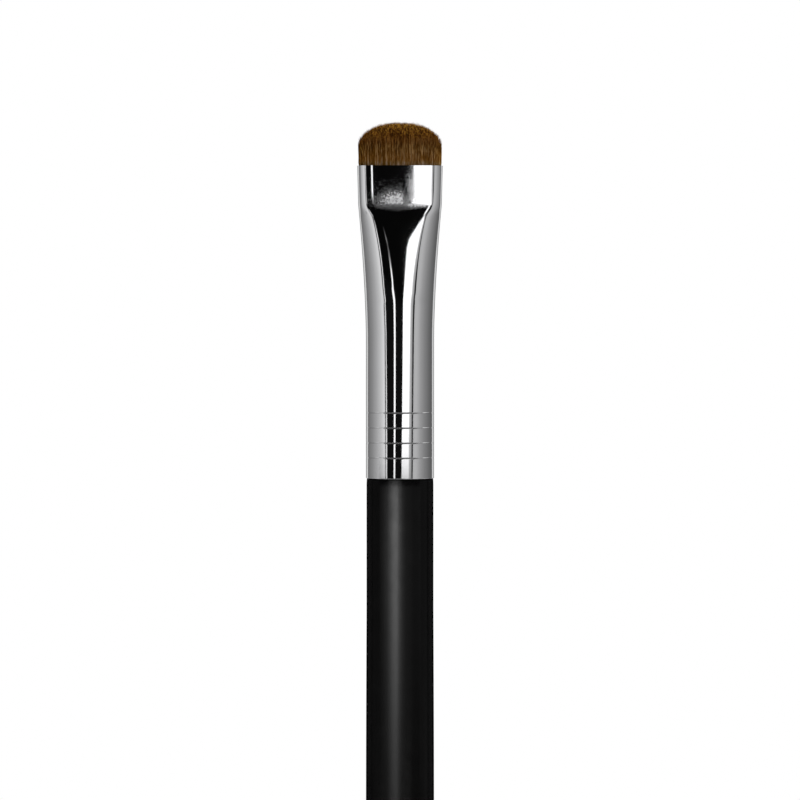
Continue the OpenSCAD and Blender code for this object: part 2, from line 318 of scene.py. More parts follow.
@dataclass(frozen=True)
class HandleForm:
    """Outline of the handle. Depths are measured down from the ferrule's lower edge.

    The rings that it is drawn with are counted on the shoulder, the neck, the swell, the taper and the tail.
    """

    edge_z: float = 48.0
    length: float = 133.3
    shoulder_r: float = 3.86
    neck_r: float = 3.92
    shoulder_l: float = 1.0
    neck_l: float = 15.0
    grip_r: float = 4.0
    grip_top: float = 42.0
    grip_low: float = 54.0
    tail_r: float = 2.3
    tail_l: float = 2.4
    coat_t: float = 0.15
    drawn_rings: tuple[int, int, int, int, int] = (10, 3, 15, 59, 20)

    @property
    def tail_top(self) -> float:
        """Depth at which the rounded tail starts."""
        return self.length - self.tail_l

    def radius(self, depth: float) -> float:
        """Radius of the handle.

        Args:
            depth: Depth below the ferrule's lower edge.

        Returns:
            The radius there.
        """
        if depth < self.shoulder_l:
            u = depth / self.shoulder_l
            return self.shoulder_r + (self.neck_r - self.shoulder_r) * math.sqrt(1 - (1 - u) ** 2)
        if depth < self.neck_l:
            return self.neck_r
        if depth < self.grip_top:
            u = (depth - self.neck_l) / (self.grip_top - self.neck_l)
            return self.neck_r + (self.grip_r - self.neck_r) * math.sin(math.pi / 2 * u)
        if depth < self.grip_low:
            return self.grip_r
        if depth < self.tail_top:
            u = (depth - self.grip_low) / (self.tail_top - self.grip_low)
            return self.tail_r + (self.grip_r - self.tail_r) * math.cos(math.pi / 2 * u)
        u = min(1.0, (depth - self.tail_top) / self.tail_l)
        return self.tail_r * math.sqrt(1 - u * u)

    def depths(self) -> list[float]:
        """Depths of the drawn rings.

        Returns:
            The depths, from the ferrule's lower edge to just above the tail's tip.
        """
        shoulder, neck, swell, taper, tail = self.drawn_rings
        quarter = math.pi / 2
        return [
            *(self.shoulder_l * (1 - math.cos(quarter * k / shoulder)) for k in range(shoulder)),
            *steps(self.shoulder_l, self.neck_l, neck),
            *steps(self.neck_l, self.grip_top, swell),
            self.grip_top,
            *steps(self.grip_low, self.tail_top, taper),
            *(self.tail_top + self.tail_l * math.sin(quarter * k / tail) for k in range(tail)),
        ]


@dataclass(frozen=True)
class TuftForm:
    """Form of the hair above the mouth. Heights are measured up from the mouth."""

    out: float = 5.2
    straight: float = 1.8
    half_w: float = 4.885
    half_t: float = 2.05
    ragged: float = 0.1
    dome_share: float = 0.444
    dome_front_share: float = 0.6
    root_sink: float = 1.2
    spread_l: float = 0.35
    root_w_share: float = 0.95
    root_t_share: float = 0.935
    crown_r: float = 27.5

    def inside(self, x: Array, y: Array) -> Array:
        """True for the places inside the tuft's outline, which has nearly flat faces and round ends.

        Args:
            x: Places across the width.
            y: Places from front to back.

        Returns:
            One truth value for each place.
        """
        sag = 1 - (self.crown_r - np.sqrt(self.crown_r**2 - x * x)) / self.half_t
        end = self.half_w - self.half_t
        return np.maximum(0, np.abs(x) - end) ** 2 + (y / sag) ** 2 <= self.half_t**2

    def dome(self, x: Array, y: Array) -> Array:
        """Height of the dome at each place.

        Args:
            x: Places across the width.
            y: Places from front to back.

        Returns:
            Heights above the mouth.
        """
        q = np.abs(x / self.half_w) ** (1 / self.dome_share)
        q = q + self.dome_front_share * np.abs(y / self.half_t) ** (1 / self.dome_share)
        top = self.out - self.ragged - self.straight
        return self.straight + top * np.maximum(0, 1 - q) ** self.dome_share


# Mesh work

# Rise that a level edge stays under in a mesh one unit high
LEVEL = 1e-6


def deselect() -> None:
    """Leave edit mode and select nothing."""
    if bpy.context.object and bpy.context.object.mode != "OBJECT":
        bpy.ops.object.mode_set(mode="OBJECT")
    bpy.ops.object.select_all(action="DESELECT")


def pick(piece: Object) -> None:
    """Select one piece alone and make it the active one.

    Args:
        piece: The piece.
    """
    deselect()
    piece.select_set(True)
    bpy.context.view_layer.objects.active = piece


def edit(kind: str, action: str) -> None:
    """Go to edit mode and select all or nothing there.

    Args:
        kind: What is selected: VERT, EDGE or FACE.
        action: SELECT or DESELECT.
    """
    bpy.ops.object.mode_set(mode="EDIT")
    bpy.ops.mesh.select_mode(type=kind)
    bpy.ops.mesh.select_all(action=action)


def named(name: str) -> Object:
    """Name the object just made and put its place into its mesh, so that it sits unturned at the origin.

    Args:
        name: Name of the object and its mesh.

    Returns:
        The object.
    """
    made = bpy.context.object
    made.name = name
    made.data.name = name
    pick(made)
    bpy.ops.object.transform_apply(location=True, rotation=True, scale=True)
    return made


def points_of(piece: Object) -> Array:
    """The piece's vertices as an array of rows with x, y and z."""
    return np.array([vertex.co for vertex in piece.data.vertices])


def put_points(piece: Object, points: Array) -> None:
    """Move the piece's vertices to the rows of an array."""
    piece.data.vertices.foreach_set("co", points.astype(np.float32).ravel())
    piece.data.update()


def give_tone(piece: Object, tone: Array) -> None:
    """Give the piece's points their rows of the tone attribute, which the hair's finish reads."""
    attribute = piece.data.attributes.new("tone", "FLOAT_COLOR", "POINT")
    attribute.data.foreach_set("color", tone.astype(np.float32).ravel())


def cut_upright(piece: Object, cuts: int) -> None:
    """Cut the edges that go up a piece, and stay in edit mode.

    Args:
        piece: The piece, which is the active one.
        cuts: Number of cuts in each edge.
    """
    edit("EDGE", "DESELECT")
    bpy.ops.object.mode_set(mode="OBJECT")
    for edge in piece.data.edges:
        a, b = (piece.data.vertices[v].co for v in edge.vertices)
        edge.select = abs(a.z - b.z) > LEVEL
    bpy.ops.object.mode_set(mode="EDIT")
    bpy.ops.mesh.subdivide(number_cuts=cuts)


def ordered(piece: Object, point: Triple) -> None:
    """Put a piece's faces in order, because an extrusion leaves them in one that changes from run to run.

    Args:
        piece: The piece.
        point: Place in metres, off the piece's planes of symmetry. The faces nearest to it come first.
    """
    pick(piece)
    edit("FACE", "SELECT")
    cursor = bpy.context.scene.cursor
    cursor.location = point
    bpy.ops.mesh.sort_elements(type="CURSOR_DISTANCE", elements={"FACE"})
    cursor.location = (0, 0, 0)
    bpy.ops.object.mode_set(mode="OBJECT")


def drawn_tube(name: str, around: int, rings: int, ends: Ends) -> tuple[Object, Array, Array]:
    """Draw a cylinder of radius and height 1 whose long sides are cut into rings.

    They are halved before they are cut up, because Blender cuts an edge at most 100 times at once.

    Args:
        name: Name of the piece.
        around: Number of points round it.
        rings: Number of rings from top to bottom, an odd one.
        ends: Which end stays closed.

    Returns:
        The new object, its points, and the number of the ring that each is on, 0 at the top.
    """
    deselect()
    bpy.ops.mesh.primitive_cylinder_add(
        vertices=around, radius=1, depth=1, end_fill_type="TRIFAN", location=(0, 0, 0.5)
    )
    piece = named(name)
    edit("FACE", "DESELECT")
    bpy.ops.object.mode_set(mode="OBJECT")
    for face in piece.data.polygons:
        if len(face.vertices) == 3 and (ends is Ends.OPEN or face.normal.z > 0):
            face.select = True
    bpy.ops.object.mode_set(mode="EDIT")
    bpy.ops.mesh.delete(type="FACE")
    edit("VERT", "SELECT")
    bpy.ops.mesh.delete_loose()
    for cuts in (1, (rings - 1) // 2 - 1):
        cut_upright(piece, cuts)
    bpy.ops.object.mode_set(mode="OBJECT")
    points = points_of(piece)
    return piece, points, np.rint((1 - points[:, 2]) * (rings - 1)).astype(int)


def evened(depths: list[float], segments: int) -> list[float]:
    """Depths with more of them put into the widest gaps, until there are as many segments as wanted.

    Args:
        depths: Depths in order.
        segments: Wanted number of segments, at least as many as there are.

    Returns:
        The depths and the new ones, in order.
    """
    done = sorted(set(depths))
    while len(done) - 1 < segments:
        k = int(np.argmax(np.diff(done)))
        done.insert(k + 1, (done[k] + done[k + 1]) / 2)
    return done


def shade(piece: Object, angle: float = 40) -> None:
    """Smooth shading with edges sharper than an angle in degrees kept sharp."""
    pick(piece)
    bpy.ops.object.shade_smooth_by_angle(angle=math.radians(angle))


def walled(piece: Object, points: Array, thickness: float) -> Object:
    """Put a drawn tube's points in place, thicken it inwards and shade it.

    Args:
        piece: The tube.
        points: Places of its points, on the outside of the wall.
        thickness: The wall's thickness in millimetres.

    Returns:
        The same piece.
    """
    put_points(piece, points)
    pick(piece)
    wall = piece.modifiers.new("wall", "SOLIDIFY")
    wall.thickness = thickness * MM
    wall.offset = -1
    wall.use_even_offset = True
    bpy.ops.object.modifier_apply(modifier=wall.name)
    shade(piece)
    return piece


def seat(piece: Object, slot: Slot, finish: Material, *nodes: str) -> None:
    """Give a piece its material, let it ride on the brush and stand for CAD nodes.

    Args:
        piece: Finished object.
        slot: Material slot that it takes its finish from; not used.
        finish: Its material.
        *nodes: CAD nodes that it replaces.
    """
    piece.data.materials.clear()
    piece.data.materials.append(finish)
    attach(piece, "root")
    if nodes:
        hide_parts(*nodes)
    log.info("%s: %d vertices", piece.name, len(piece.data.vertices))


# Finishes

# Numbers of the Mix node's sockets for colours: its two inputs and its output
MIX_FIRST, MIX_SECOND, MIX_RESULT = 6, 7, 2

# How much finer layers add to a noise, and the range that most of its values lie in
NOISE_ROUGHNESS = 0.55
NOISE_LOW, NOISE_HIGH = 0.3, 0.7


class Nodes:
    """A node tree to which nodes are added."""

    def __init__(self, tree: bpy.types.NodeTree) -> None:
        """Hold the tree."""
        self.tree = tree

    def node(self, kind: str, inputs: dict | None = None, **settings: object) -> bpy.types.Node:
        """Add a node.

        Args:
            kind: Node type without its ShaderNode prefix.
            inputs: Sockets by name or number, with a value or the output that feeds each.
            **settings: Values for the node's own properties.

        Returns:
            The new node.
        """
        made = self.tree.nodes.new("ShaderNode" + kind)
        for key, value in settings.items():
            setattr(made, key, value)
        for key, value in (inputs or {}).items():
            self.feed(made, key, value)
        return made

    def feed(self, node: bpy.types.Node, key: str | int, value: object) -> None:
        """Set one input of a node to a value, or link an output to it.

        Args:
            node: The node.
            key: Name or number of the input.
            value: The value or the output.
        """
        if isinstance(value, Socket):
            self.tree.links.new(value, node.inputs[key])
        else:
            node.inputs[key].default_value = value

    def place(self, scale: Triple = (1, 1, 1), shift: Triple = (0, 0, 0)) -> Socket:
        """Object coordinates in metres, stretched by a scale and then shifted."""
        where = self.node("TexCoord").outputs["Object"]
        return self.node("Mapping", {"Vector": where, "Scale": scale, "Location": shift}).outputs["Vector"]

    def axes(self) -> tuple[Socket, Socket, Socket]:
        """Object coordinates in metres along X, Y and Z."""
        return tuple(self.node("SeparateXYZ", {0: self.node("TexCoord").outputs["Object"]}).outputs)

    def noise(self, scale: float, detail: float = 2, stretch: Triple = (1, 1, 1)) -> Socket:
        """Noise with its grains to a metre, its finer layers and how much its coordinates are stretched."""
        settings = {"Scale": scale, "Detail": detail, "Roughness": NOISE_ROUGHNESS}
        return self.node("TexNoise", {"Vector": self.place(stretch), **settings}).outputs[0]

    def ramp(self, value: Socket, stops: Stops) -> Socket:
        """A colour ramp.

        Args:
            value: What the ramp reads.
            stops: Places and colours, lowest first.

        Returns:
            The colour.
        """
        made = self.node("ValToRGB", {"Fac": value})
        elements = made.color_ramp.elements
        while len(elements) < len(stops):
            elements.new(0.5)
        for element, (at, colour) in zip(elements, stops):
            element.position = at
            element.color = (*colour, 1)
        return made.outputs["Color"]

    def mottled(self, noise: Socket, first: Triple, second: Triple) -> Socket:
        """A noise as a mix of two colours."""
        return self.ramp(noise, ((NOISE_LOW, first), (NOISE_HIGH, second)))

    def math(self, operation: str, *values: Value) -> Socket:
        """The result of a math node on up to three values."""
        return self.node("Math", dict(enumerate(values)), operation=operation).outputs[0]

    def product(self, *values: Socket) -> Socket:
        """The product of several values."""
        return reduce(lambda a, b: self.math("MULTIPLY", a, b), values)

    def weighed(self, weights: tuple[float, ...], *values: Socket) -> Socket:
        """The sum of several values, each times its weight."""
        parts = [self.math("MULTIPLY", value, weight) for value, weight in zip(values, weights)]
        return reduce(lambda a, b: self.math("ADD", a, b), parts)

    def spread(
        self, value: Socket, low: Value, high: Value, start: float = 0, end: float = 1, **settings: str
    ) -> Socket:
        """A result that goes from low to high as the value goes from start to end, and stays between them."""
        ends = {"From Min": start, "From Max": end, "To Min": low, "To Max": high}
        return self.node("MapRange", {"Value": value, **ends}, **settings).outputs["Result"]

    def vector(self, operation: str, inputs: dict, output: str = "Vector") -> Socket:
        """One output of a vector math node."""
        return self.node("VectorMath", inputs, operation=operation).outputs[output]

    def mixed(self, share: Socket, first: Socket, second: Triple) -> Socket:
        """A colour mixed with a share of a second one."""
        parts = {"Factor": share, MIX_FIRST: first, MIX_SECOND: (*second, 1)}
        return self.node("Mix", parts, data_type="RGBA").outputs[MIX_RESULT]

    def bump(self, height: Socket, distance: float, strength: float) -> Socket:
        """A normal from a pattern of heights, its full height in metres and how much of it shows."""
        made = self.node("Bump", {"Height": height, "Distance": distance, "Strength": strength})
        return made.outputs["Normal"]


class Shader(Nodes):
    """The node tree of one material, with a Principled shader to feed."""

    def __init__(self, name: str) -> None:
        """Make the material.

        Args:
            name: Name of the material.
        """
        self.material = bpy.data.materials.new(name)
        self.material.use_nodes = True
        super().__init__(self.material.node_tree)
        self.surface = self.tree.nodes["Principled BSDF"]

    def set(self, **values: object) -> None:
        """Feed the Principled shader, with underscores for the spaces in the names."""
        for key, value in values.items():
            self.feed(self.surface, key.replace("_", " "), value)

    def show(self, surface: Socket) -> None:
        """Let the material show another shader than the Principled one."""
        self.tree.links.new(surface, self.tree.nodes["Material Output"].inputs["Surface"])


@dataclass(frozen=True)
class Grain:
    """A noise with its grains to a metre and finer layers, spread over a range, and its stretch."""

    scale: float
    detail: float
    low: float
    high: float
    start: float = NOISE_LOW
    end: float = NOISE_HIGH
    stretch: Triple = (1, 1, 1)

    def over(self, s: Shader) -> Socket:
        """The grain's value at each place."""
        noise = s.noise(self.scale, self.detail, self.stretch)
        return s.spread(noise, self.low, self.high, self.start, self.end)


@dataclass(frozen=True)
class Mottle:
    """A colour with faint darker places, at a share of its brightness, and their grains to a metre."""

    colour: Triple
    darker: float
    scale: float

    def over(self, s: Shader) -> Socket:
        """The colour at each place."""
        return s.mottled(s.noise(self.scale, 3), tuple(self.darker * v for v in self.colour), self.colour)


@dataclass(frozen=True)
class Relief:
    """A fine relief: its grains to a metre, its height in metres, how much of it shows and its stretch."""

    scale: float
    height: float
    strength: float
    stretch: Triple = (1, 1, 1)

    def over(self, s: Shader) -> Socket:
        """The relief's normal at each place."""
        return s.bump(s.noise(self.scale, 2, self.stretch), self.height, self.strength)


@dataclass(frozen=True)
class Fade:
    """A value that changes between two places, which are in millimetres along an axis."""

    start: float
    end: float
    low: float
    high: float

    def over(self, s: Shader, place: Socket) -> Socket:
        """The value at each place along the axis, read in metres."""
        return s.spread(place, self.low, self.high, self.start * MM, self.end * MM)


@dataclass(frozen=True)
class Oval:
    """An oval on the front and back, with its middle and half sizes in millimetres along X and Z."""

    x: float
    z: float
    half_x: float
    half_z: float

    def distance(self, s: Shader) -> Socket:
        """Distance of each place from the oval's middle, 1 on the oval.

        Args:
            s: Shader that it is built in.

        Returns:
            The distance.
        """
        scale = (1 / (self.half_x * MM), 0, 1 / (self.half_z * MM))
        shift = (-self.x / self.half_x, 0, -self.z / self.half_z)
        return s.vector("LENGTH", {0: s.place(scale, shift)}, "Value")


@dataclass(frozen=True)
class NickelFinish:
    """Bright nickel plate with faint polishing marks, dulled where the press held it and with painted shade
    in its grooves.

    The dull places are the press's patch, an oval just above the crease, a fainter haze round it and up its
    right side, and a band under the crease that is deepest at its middle. Their colour is lifted, a painted
    highlight. The attribute groove is 1 in the grooves, fainter towards the sides, and darkens them as
    painted shade.
    """

    colour: Mottle = Mottle((0.74, 0.74, 0.75), 0.97, 260)
    clean: Grain = Grain(900, 4, 0.045, 0.07)
    marks: Relief = Relief(2600, 1e-6, 0.25, (1, 1, 0.05))
    dull: float = 0.44
    dull_metal: float = 0.5
    # How much the dull places' colour is lifted, a painted highlight for light on the scuffed metal
    dull_painted_highlight: float = 0.3
    dull_painted_highlight_run: Pair = (0.2, 0.8)
    # Share of the colour left in the grooves: painted shade
    groove_painted_shade: float = 0.3
    groove_roughness: float = 0.5
    crease: float = 80.0
    patch: Oval = Oval(-0.8, 80.5, 2.4, 1.45)
    patch_edge: Pair = (0.25, 1.1)
    patch_ragged: Grain = Grain(7000, 1, 0.3, -0.3)
    patch_mottle: Grain = Grain(6500, 1, 0.3, 1.05)
    patch_foot: Fade = Fade(79.5, 80.25, 0, 1)
    patch_top: Fade = Fade(81.0, 82.2, 1, 0.7)
    patch_right: Fade = Fade(0.1, 0.4, 1, 0.4)
    hazes: tuple[Oval, ...] = (Oval(-0.9, 80.3, 2.9, 2.1), Oval(1.2, 81.7, 0.75, 2.3))
    haze: float = 0.22
    haze_core: float = 0.4
    haze_specks: Grain = Grain(5500, 1, 0.6, -0.5, 0.35, 0.65)
    band_middle: float = -0.5
    band_depth: Fade = Fade(0, 3, 0.88, 0.44)
    band_top: Fade = Fade(80.0, 80.2, 1, 0)
    band_left: Fade = Fade(0.3, 1.5, 0.4, 1)
    band_ends: Fade = Fade(2.8, 3.2, 1, 0)
    band_streaks: Grain = Grain(5200, 2, 0.6, 1.1, 0.35, 0.65, (1, 1, 0.22))

    def pressed(self, s: Shader) -> Socket:
        """Dulling of the press's patch and the haze round it.

        Args:
            s: Shader that it is built in.

        Returns:
            The amount from 0 to 1.
        """
        across, _, height = s.axes()
        out = s.math("ADD", self.patch.distance(s), self.patch_ragged.over(s))
        inside = s.spread(out, 1, 0, *self.patch_edge, interpolation_type="SMOOTHSTEP")
        above = self.patch_foot.over(s, height)
        sides = self.patch_right.over(s, across), self.patch_top.over(s, height)
        patch = s.product(self.patch_mottle.over(s), inside, above, *sides)
        specks = self.haze_specks.over(s)
        for oval in self.hazes:
            out = s.math("ADD", oval.distance(s), specks)
            haze = s.spread(out, self.haze, 0, self.haze_core, 1)
            patch = s.math("MAXIMUM", patch, s.product(haze, above))
        return patch

    def banded(self, s: Shader) -> Socket:
        """Dulling of the band under the crease.

        Args:
            s: Shader that it is built in.

        Returns:
            The amount from 0 to about 1.
        """
        across, _, height = s.axes()
        aside = s.math("ABSOLUTE", s.math("SUBTRACT", across, self.band_middle * MM))
        depth = s.math("MULTIPLY", self.band_depth.over(s, aside), MM)
        under = s.math("SUBTRACT", self.crease * MM, height)
        band = s.math("SUBTRACT", 1, s.math("DIVIDE", under, depth))
        band = s.math("MAXIMUM", s.math("MINIMUM", band, 1), 0)
        ends = self.band_ends.over(s, s.math("ABSOLUTE", across))
        left = self.band_left.over(s, across)
        return s.product(band, self.band_top.over(s, height), left, ends, self.band_streaks.over(s))

    def make(self) -> Material:
        """Build the material.

        Returns:
            The material.
        """
        s = Shader("nickel_plate")
        dulled = s.math("MAXIMUM", self.pressed(s), self.banded(s))
        rough = s.spread(dulled, self.clean.over(s), self.dull)
        groove = s.node("Attribute", attribute_name="groove").outputs["Fac"]
        # Painted highlight: the dull places' colour is lifted
        painted_highlight = s.spread(dulled, 0, self.dull_painted_highlight, *self.dull_painted_highlight_run)
        # Colour scale: painted shade in the grooves, plus the dull places' painted highlight
        level = s.math("ADD", s.spread(groove, 1, self.groove_painted_shade), painted_highlight)
        shades = self.colour.over(s)
        s.set(
            Metallic=s.spread(dulled, 1, self.dull_metal),
            Base_Color=s.vector("SCALE", {0: shades, "Scale": level}),
            Roughness=s.spread(groove, rough, self.groove_roughness),
            Normal=self.marks.over(s),
        )
        return s.material


@dataclass(frozen=True)
class LacquerFinish:
    """Deep black gloss lacquer with a slight orange peel."""

    colour: Mottle = Mottle((0.0028, 0.0027, 0.0028), 0.7, 400)
    gloss: Grain = Grain(700, 3, 0.13, 0.17)
    peel: Relief = Relief(1500, 1e-6, 0.4)

    def make(self) -> Material:
        """Build the material.

        Returns:
            The material.
        """
        s = Shader("black_lacquer")
        s.set(Base_Color=self.colour.over(s), Roughness=self.gloss.over(s), Normal=self.peel.over(s))
        return s.material


@dataclass(frozen=True)
class HairFinish:
    """Fine brown natural hair: darker and lighter strands in short streaks, golden towards the tips.

    It reads the attribute tone: red is the strand's own shade, green its lock's and blue the way along it.
    The strands are greyer and more even at the foot, redder up their length and at the tuft's two sides, and
    each tip is dark or golden. The weights are of the strand's shade, its lock's and the streaks over them.
    """

    shades: Stops = ((0.2, (0.032, 0.008, 0.0002)), (0.5, (0.098, 0.034, 0.002)), (0.8, (0.3, 0.16, 0.05)))
    weights: Triple = (0.4, 0.2, 0.4)
    streaks: Grain = Grain(7500, 2, 0, 1, 0.32, 0.68, (1, 1, 0.18))
    foot_calm: float = 0.45
    calm_to: float = 0.45
    tints: Stops = (
        (0.02, (0.98, 1.6, 4.6)), (0.12, (1.07, 1.25, 2.05)), (0.4, (0.8, 0.88, 1.06)),
        (0.7, (0.72, 0.53, 0.3)),
    )
    sides: Fade = Fade(3.7, 4.7, 0, 1)
    side_tint: Triple = (1.0, 0.9, 0.5)
    tip: Triple = (0.66, 0.34, 0.05)
    tip_run: Pair = (0.55, 0.95)
    tip_weights: Pair = (0.35, 0.65)
    tip_speckle: Grain = Grain(6000, 1, 0, 1, 0.42, 0.58, (1, 0.3, 0.8))
    tip_dark: Quad = (0.2, 1, 0.15, 0.6)
    tip_gold: Quad = (0, 0.85, 0.6, 0.9)
    roughness: float = 0.55
    specular: float = 0.02

    def make(self) -> Material:
        """Build the material.

        Returns:
            The material.
        """
        s = Shader("brown_hair")
        tone = s.node("Attribute", attribute_name="tone").outputs["Color"]
        own, lock, along = s.node("SeparateColor", {"Color": tone}).outputs
        body = s.ramp(s.weighed(self.weights, own, lock, self.streaks.over(s)), self.shades)
        body = s.mixed(s.spread(along, self.foot_calm, 0, 0, self.calm_to), body, self.shades[1][1])
        side = self.sides.over(s, s.math("ABSOLUTE", s.axes()[0]))
        for tint in (s.ramp(along, self.tints), s.ramp(side, ((0, WHITE), (1, self.side_tint)))):
            body = s.vector("MULTIPLY", {0: body, 1: tint})
        ending = s.spread(along, 0, 1, *self.tip_run)
        speckle = s.weighed(self.tip_weights, own, self.tip_speckle.over(s))
        deep = s.spread(ending, 1, s.spread(speckle, *self.tip_dark))
        body = s.vector("SCALE", {0: body, "Scale": deep})
        golden = s.product(ending, s.spread(speckle, *self.tip_gold))
        s.set(
            Base_Color=s.mixed(golden, body, self.tip),
            Roughness=self.roughness,
            Specular_IOR_Level=self.specular,
        )
        return s.material


@dataclass(frozen=True)
class PlainFinish:
    """A hidden piece's finish: two shades in a stretched grain, with a fine relief."""

    name: str
    first: Triple
    second: Triple
    grain: float
    stretch: Triple
    roughness: float
    height: float = 2e-5
    strength: float = 0.5

    def make(self) -> Material:
        """Build the material.

        Returns:
            The material.
        """
        s = Shader(self.name)
        grain = s.noise(self.grain, 4, self.stretch)
        s.set(
            Base_Color=s.mottled(grain, self.first, self.second),
            Roughness=self.roughness,
            Normal=s.bump(grain, self.height, self.strength),
        )
        return s.material


HIDDEN = {
    "binding_thread": PlainFinish("wound_thread", (0.5, 0.45, 0.34), (0.68, 0.63, 0.5), 400, (1, 1, 12), 0.8),
    "root_plug": PlainFinish("cast_resin", (0.38, 0.24, 0.06), (0.5, 0.34, 0.1), 300, (1, 1, 1), 0.25),
    "tenon_adhesive": PlainFinish("set_glue", (0.56, 0.46, 0.22), (0.66, 0.56, 0.3), 500, (1, 1, 1), 0.6),
    "handle_core": PlainFinish("birch_wood", (0.46, 0.29, 0.14), (0.6, 0.42, 0.23), 900, (1, 1, 0.06), 0.6),
}


# Pieces


@dataclass
class Ferrule:
    """The metal ferrule: round tube with rolled rings, flare and pressed mouth.

    Its grooves carry a mask of painted shade for the finish, out to a share of their width, full within the
    first distance from the middle and faint beyond the second.
    """

    form: FerruleForm = FerruleForm()
    around: int = 240
    segments: int = 160
    # How far the grooves' painted shade reaches, and how strong it is at the middle and towards the sides
    groove_shade_share: float = 0.8
    groove_shade_within: Pair = (1.6, 2.2)
    groove_shade_levels: Pair = (1.0, 0.15)

    def build(self) -> Object:
        """Draw the tube, press it to its sections and give it its wall.

        Returns:
            The ferrule.
        """
        form = self.form
        depths = evened(form.depths(), self.segments)
        piece, flat, ring = drawn_tube("ferrule_shell", self.around, len(depths), Ends.OPEN)
        angle = np.arctan2(flat[:, 0], flat[:, 1])
        turn = np.rint(angle / (2 * math.pi) * self.around).astype(int) % self.around
        placed = np.empty_like(flat)
        groove_shade_mask = np.zeros(len(flat), np.float32)
        for k, depth in enumerate(depths):
            on = ring == k
            height = form.length - depth
            section = form.section(depth, self.around) * (1 - form.inset(height) / form.tube_r)
            placed[on, :2] = section[turn[on]] * MM
            placed[on, 2] = (form.mouth_z - depth) * MM
            # Painted shade in the grooves: full at the middle of the front and back, faint towards the sides
            middle = np.interp(np.abs(section[turn[on], 0]), self.groove_shade_within, self.groove_shade_levels)
            groove_shade_mask[on] = (form.groove(height) < self.groove_shade_share) * middle
        piece.data.attributes.new("groove", "FLOAT", "POINT").data.foreach_set("value", groove_shade_mask)
        return walled(piece, placed, form.wall)

    def dress(self) -> None:
        """Build the piece and give it its finish."""
        seat(self.build(), Slot.METAL, NickelFinish().make(), "ferrule")


@dataclass
class HandleCoat:
    """The lacquer coat of the turned handle."""

    form: HandleForm = HandleForm()
    around: int = 128
    segments: int = 120

    def build(self) -> Object:
        """Draw the tube, turn it to the outline and give it its thickness.

        Returns:
            The coat.
        """
        form = self.form
        depths = np.array(evened(form.depths(), self.segments))
        piece, flat, ring = drawn_tube("handle_coat", self.around, len(depths), Ends.LOWER)
        radii = np.array([form.radius(depth) for depth in depths])
        placed = np.empty_like(flat)
        placed[:, :2] = flat[:, :2] * radii[ring][:, None] * MM
        placed[:, 2] = (form.edge_z - depths[ring]) * MM
        at_pole = np.hypot(flat[:, 0], flat[:, 1]) < 0.5
        placed[at_pole] = (0, 0, (form.edge_z - form.length) * MM)
        return walled(piece, placed, form.coat_t)

    def dress(self) -> None:
        """Build the piece and give it its finish."""
        seat(self.build(), Slot.LACQUER, LacquerFinish().make(), "handle_lacquer")


